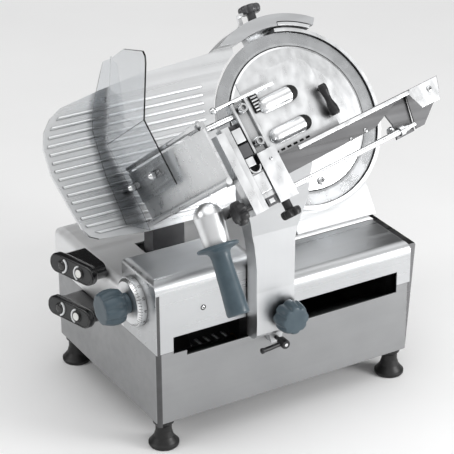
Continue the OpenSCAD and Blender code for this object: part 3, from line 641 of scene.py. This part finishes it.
def index_dial():
    """Graduations round the dial, with numbers on its drum."""
    place = BASE @ shift(*INDEX_AT) @ turn(-90, "Y")
    bm = bmesh.new()
    for i in range(DIAL_MARKS):
        major = i % (DIAL_MARKS // DIAL_NUMBERS) == 0
        at = turn(i * 360 / DIAL_MARKS, "Z")
        block(bm, (46.2, -0.35, 9.2 if major else 10.4), (47.15, 0.35, 12.2), at)
        slant = at @ shift(46, 0, 12.1) @ turn(-52, "Y")
        block(bm, (-0.2, -0.35, 0), (0.2, 0.35, 7.0 if major else 4.2), slant)
    piece("dial_marks", bm, place, "black_plastic", "index")
    for i in range(DIAL_NUMBERS):
        curve = bpy.data.curves.new("digits", "FONT")
        curve.body = str(2 * i)
        curve.size = 6.5
        curve.align_x = "CENTER"
        curve.extrude = 0.12
        text = bpy.data.objects.new("digits", curve)
        bpy.context.scene.collection.objects.link(text)
        mesh = bpy.data.meshes.new_from_object(text.evaluated_get(bpy.context.evaluated_depsgraph_get()))
        bpy.data.objects.remove(text)
        bm = bmesh.new()
        bm.from_mesh(mesh)
        upright = turn(i * 360 / DIAL_NUMBERS, "Z") @ shift(47.05, 0, 2.2) @ turn(90, "Z") @ turn(90, "X")
        bmesh.ops.transform(bm, matrix=upright, verts=bm.verts)
        piece(f"dial_number_{2 * i}", bm, place, "black_plastic", "index")


SWITCH_UPPER = (-58, 226, 300)
SWITCH_LOWER = (-58, 245, 200)
BUTTON_AT = 24  # from the pod's middle to each button
POD_HALF = 40
POD_R = 19

# The pod's side, from its back to the edge of its face: (growth of the outline, depth)
POD_SIDE = [
    (-3, -22), (-2.6, -17.5), (-0.9, -15.2), (0, -13), (0, -11.4), (-0.8, -10.9), (-0.8, -10.1), (0, -9.6),
    (0, -2.6), (-0.5, -1.1), (-1.7, -0.1), (-3, 0), (-3.8, -0.9)]


def switch_frame(centre):
    return shift(*centre) @ turn(16, "Z") @ turn(-82, "Y") @ turn(90, "Z")


def switch_pod(name, centre):
    """Gloss pod with a rim round its face and a stem that runs back to the left end."""
    at = switch_frame(centre)

    def foot(x, y):
        """Where a line down the pod meets the left end."""
        top = at @ Vector((x, y, 0))
        down = at @ Vector((x, y, -1)) - top
        return top + down * ((-0.35 - top.x) / down.x)

    bm = bmesh.new()
    stem_half = POD_HALF - 6
    rings = [[foot(p.x, p.y) for p in stadium(stem_half, POD_R - 3, 0)]]
    for grow, z in POD_SIDE:
        half = stem_half if z < -20 else POD_HALF
        rings.append([at @ p for p in stadium(half, POD_R + grow, z)])
    loft(bm, rings)
    piece(name, bm, BASE, "gloss_black", "base", sharp=45)
    bm = bmesh.new()
    loft(bm, [[at @ p for p in stadium(POD_HALF, POD_R - 4.1, z)] for z in (-0.95, -0.55)])
    piece(name + "_face", bm, BASE, "face_grey", "base", edge=0.15)
    bm = bmesh.new()
    for side, inwards in ((-1, 0), (1, 180)):
        bow = sector(11.6, 15.0, inwards - 74, inwards + 74)
        prism(bm, bow, -0.5, 2.6, at @ shift(side * BUTTON_AT, 0, 0))
    piece(name + "_crescents", bm, BASE, "frosted", "base", edge=0.7)
    bm = bmesh.new()
    for side in (-1, 1):
        lathe(bm, [(11.4, -0.6), (11.4, 0.9), (10.9, 1.5), (10.3, 1.5), (10.05, 0.9), (10.05, -0.4)], 40,
              at @ shift(side * BUTTON_AT, 0, 0))
    piece(name + "_bezels", bm, BASE, "gloss_black", "base")


def button(name, centre, side, body, node, white):
    place = BASE @ switch_frame(centre) @ shift(side * BUTTON_AT, 0, 0)
    bm = bmesh.new()
    if white:
        lathe(bm, [(5.9, -11.8), (5.9, -3.4), (9.4, -3.4), (9.4, 2.6), (9.0, 3.2), (7.8, 3.2)], 40)
        piece(name + "_shell", bm, place, "button_black", body, replaces=(node,))
        bm = bmesh.new()
        lathe(bm, [(7.7, 2.9), (7.7, 3.5), (7.3, 3.85), (5, 4), (1, 4)], 40)
        piece(name + "_cap", bm, place, "button_white", body)
        return
    lathe(bm, [(5.9, -11.8), (5.9, -3.4), (9.4, -3.4), (9.4, 1.2), (9.0, 2.2), (7.8, 3.1), (5.6, 3.7),
               (3, 3.95), (0.8, 4)], 40)
    piece(name + "_cap", bm, place, "button_black", body, replaces=(node,))


def switches():
    switch_pod("upper_pod", SWITCH_UPPER)
    switch_pod("lower_pod", SWITCH_LOWER)
    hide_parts("switch_boxes")
    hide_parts("switch_boxes")
    button("blade_start", SWITCH_UPPER, -1, "blade_start", "blade_start_button", True)
    button("blade_stop", SWITCH_UPPER, 1, "blade_stop", "blade_stop_button", False)
    button("carriage_start", SWITCH_LOWER, -1, "carriage_start", "carriage_start_button", True)
    button("carriage_stop", SWITCH_LOWER, 1, "carriage_stop", "carriage_stop_button", False)


# ---------------------------------------------------------------- table, press and blade details


def half_round(bm, x0, x1, u, base, r):
    """Half a round-ended tube lying on the plate along x, its round end at x1."""
    stations = [(x0, r), (x1 - r, r)]
    stations += [(x1 - r + r * math.sin(a), r * math.cos(a)) for a in arc_angles(10, 86, 8)]
    loft(bm, [[Vector((x, -base - q * math.cos(a), u + q * math.sin(a))) for a in arc_angles(-90, 90, 20)]
              for x, q in stations])


def press_details():
    """Painted shade at the ends of the finger scoops and in the gaps behind the slots, as black pieces, and
    fittings of the press and table frame.
    """
    bm = bmesh.new()
    # Painted shade: black half tubes at the scoops' ends, black plates behind the slots, and a black plate under
    # the rack teeth
    for x, u in ((-182, 37), (-184, -21)):
        half_round(bm, x - 3, x + 15, u, 322.6, 14.5)
    for low, high in (((-266, -50.5), (-183, -43.5)), ((-251.5, 32.5), (-242.5, 71.5))):
        block(bm, (low[0], low[1], 318.7), (high[0], high[1], 319.8), OUT)
    block(bm, (-262, 30, 323.1), (-246, 62, 326.5), OUT)
    piece("press_opening_shade", bm, TABLE, "painted_shade_black", "press", edge=0.4)
    bm = bmesh.new()
    for i in range(5):
        block(bm, (-261, 33 + 6 * i, 326), (-248, 35.6 + 6 * i, 328), OUT)
    piece("press_rack_teeth", bm, TABLE, "polished_aluminium", "press", edge=0.3)
    bm = bmesh.new()
    for low, high in (((-310.6, -32.6), (-305.5, 61.6)), ((-281.5, -32.6), (-276.4, 61.6))):
        block(bm, (low[0], low[1], 334.8), (high[0], high[1], 341.5), OUT)
    piece("press_bracket_rims", bm, TABLE, "polished_aluminium", "press", edge=0.8)
    bm = bmesh.new()
    for u in (-16, 48):
        at = shift(-294, -335, u) @ OUT
        lathe(bm, [(8.2, 0), (8.2, 15.5), (7.6, 16.6), (4.6, 16.6), (4.2, 12)], 32, at)
    piece("press_bolts", bm, TABLE, "chrome", "press", sharp=50)
    # Painted shade: dark blocks in the table frame's slots and recesses
    bm = bmesh.new()
    block(bm, (-337.6, -61.5, 330.6), (-311.4, 29, 332), OUT)
    block(bm, (-334, -126, 344.1), (-315, -111, 345.2), OUT)
    block(bm, (-336, -32, 333), (-314, -9, 344), OUT)
    piece("frame_slot_shade", bm, TABLE, "cast_dark", "carriage", edge=0.8)
    bm = bmesh.new()
    block(bm, (-335, -5, 333), (-315, 20, 345), OUT)
    block(bm, (-335, -50, 333), (-318, -34, 344), OUT)
    block(bm, (-330, -122, 344.2), (-319, -114, 346), OUT)
    block(bm, (-338, -100, 344), (-314, -66, 347.6), OUT)
    piece("frame_slot_blocks", bm, TABLE, "polished_aluminium", "carriage", edge=1.0)
    bm = bmesh.new()
    bow = [(-324 + x, -52 + y) for x, y in sector(9.5, 12.5, 180, 360)]
    prism(bm, bow, 332, 346, OUT)
    piece("frame_slot_lip", bm, TABLE, "sheet_steel", "carriage", edge=0.4)


def rail_details():
    """Screws, flange, end plate and rod collar of the right-hand rail."""
    bm = bmesh.new()
    for x, u in ((-90, -83), (-125, -86.5)):
        screw(bm, shift(x, -346, u) @ turn(90, "X"), 4, 2)
    screw(bm, shift(78, -337, -68) @ turn(90, "X"), 5.5, 3)
    screw(bm, shift(-290, -348, -52) @ turn(90, "X"), 3.2, 1.6)
    piece("rail_screws", bm, TABLE, "chrome", "carriage", sharp=50)
    bm = bmesh.new()
    block(bm, (-230, -60.5, 326), (28, -53.2, 347.4), OUT)
    piece("rail_flange", bm, TABLE, "polished_aluminium", "carriage", edge=1.2)
    bm = bmesh.new()
    prism(bm, [(29, -52.5), (105.5, -52.5), (98, -74), (90, -93), (46, -93)], 334, 337.6, OUT)
    piece("rail_far_plate", bm, TABLE, "polished_aluminium", "carriage", edge=1.0)
    bm = bmesh.new()
    lathe(bm, [(9.5, 0), (11, 1), (11, 5), (9.5, 6)], 36, shift(-33, -324, -108) @ turn(90, "Y"))
    piece("rail_rod_collar", bm, TABLE, "chrome", "carriage")


def blade_details():
    """Pin on the guard ring, inlay of the sharpener, and a black ring of painted shade in the seam round the blade
    cover.
    """
    bm = bmesh.new()
    screw(bm, shift(6.3, -6.2, -132.1) @ turn(90, "X"), 8, 3.4)
    piece("cover_pin", bm, BLADE, "chrome", "base", sharp=50)
    bm = bmesh.new()
    insert = sector(187.6, 194.6, 64, 85.5)
    prism(bm, insert, -30, 11, OUT)
    piece("sharpener_insert", bm, BLADE, "sheet_steel", "base", edge=0.5)
    # Painted shade: a black ring in the gap between the blade and its cover
    bm = bmesh.new()
    loft(bm, [[OUT @ p for p in circle(r, z, 160)] for r, z in
              ((146.4, 1.1), (148.0, 1.1), (148.0, 1.9), (146.4, 1.9))], closed=True)
    piece("blade_seam_shade", bm, BLADE, "painted_shade_black", "blade_rotor")


COVER_SCREW_AT = (98, 0, 282)
BASE_CORNER = 10  # radius of the base box's corners


def cover_details():
    """The left front cover's screw, and the dark strip down the corner of the cover and the base."""
    bm = bmesh.new()
    screw(bm, shift(*COVER_SCREW_AT) @ shift(0, 1.4, 0) @ turn(90, "X"), 3.85, 2.2)
    piece("cover_screw", bm, BASE, "chrome", "base", sharp=50)
    # Painted shade: a black ring round the screw head, where its seat lies in shade
    bm = bmesh.new()
    loft(bm, [[shift(*COVER_SCREW_AT) @ turn(90, "X") @ p for p in circle(r, z, 32)] for r, z in
              ((3.9, -0.6), (5.4, -0.6), (5.4, 0.35), (3.9, 0.35))], closed=True)
    piece("cover_screw_seat_shade", bm, BASE, "painted_shade_black", "base")
    bm = bmesh.new()
    cover_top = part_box("front_cover_left")[1].z / MM
    strip = sector(BASE_CORNER - 0.4, BASE_CORNER + 0.35, 205, 266)
    prism(bm, strip, 53, 207.3, shift(BASE_CORNER, BASE_CORNER, 0))
    block(bm, (1.2, -0.35, 208.2), (7.6, 0.5, cover_top - 26))
    piece("corner_seal", bm, BASE, "seal_dark", "base", edge=0.2)


# ---------------------------------------------------------------- the scene

camera()
lights()
floor()
dress_nodes()
knobs()
push_handle()
clamp_lever()
index_dial()
switches()
press_details()
rail_details()
blade_details()
cover_details()
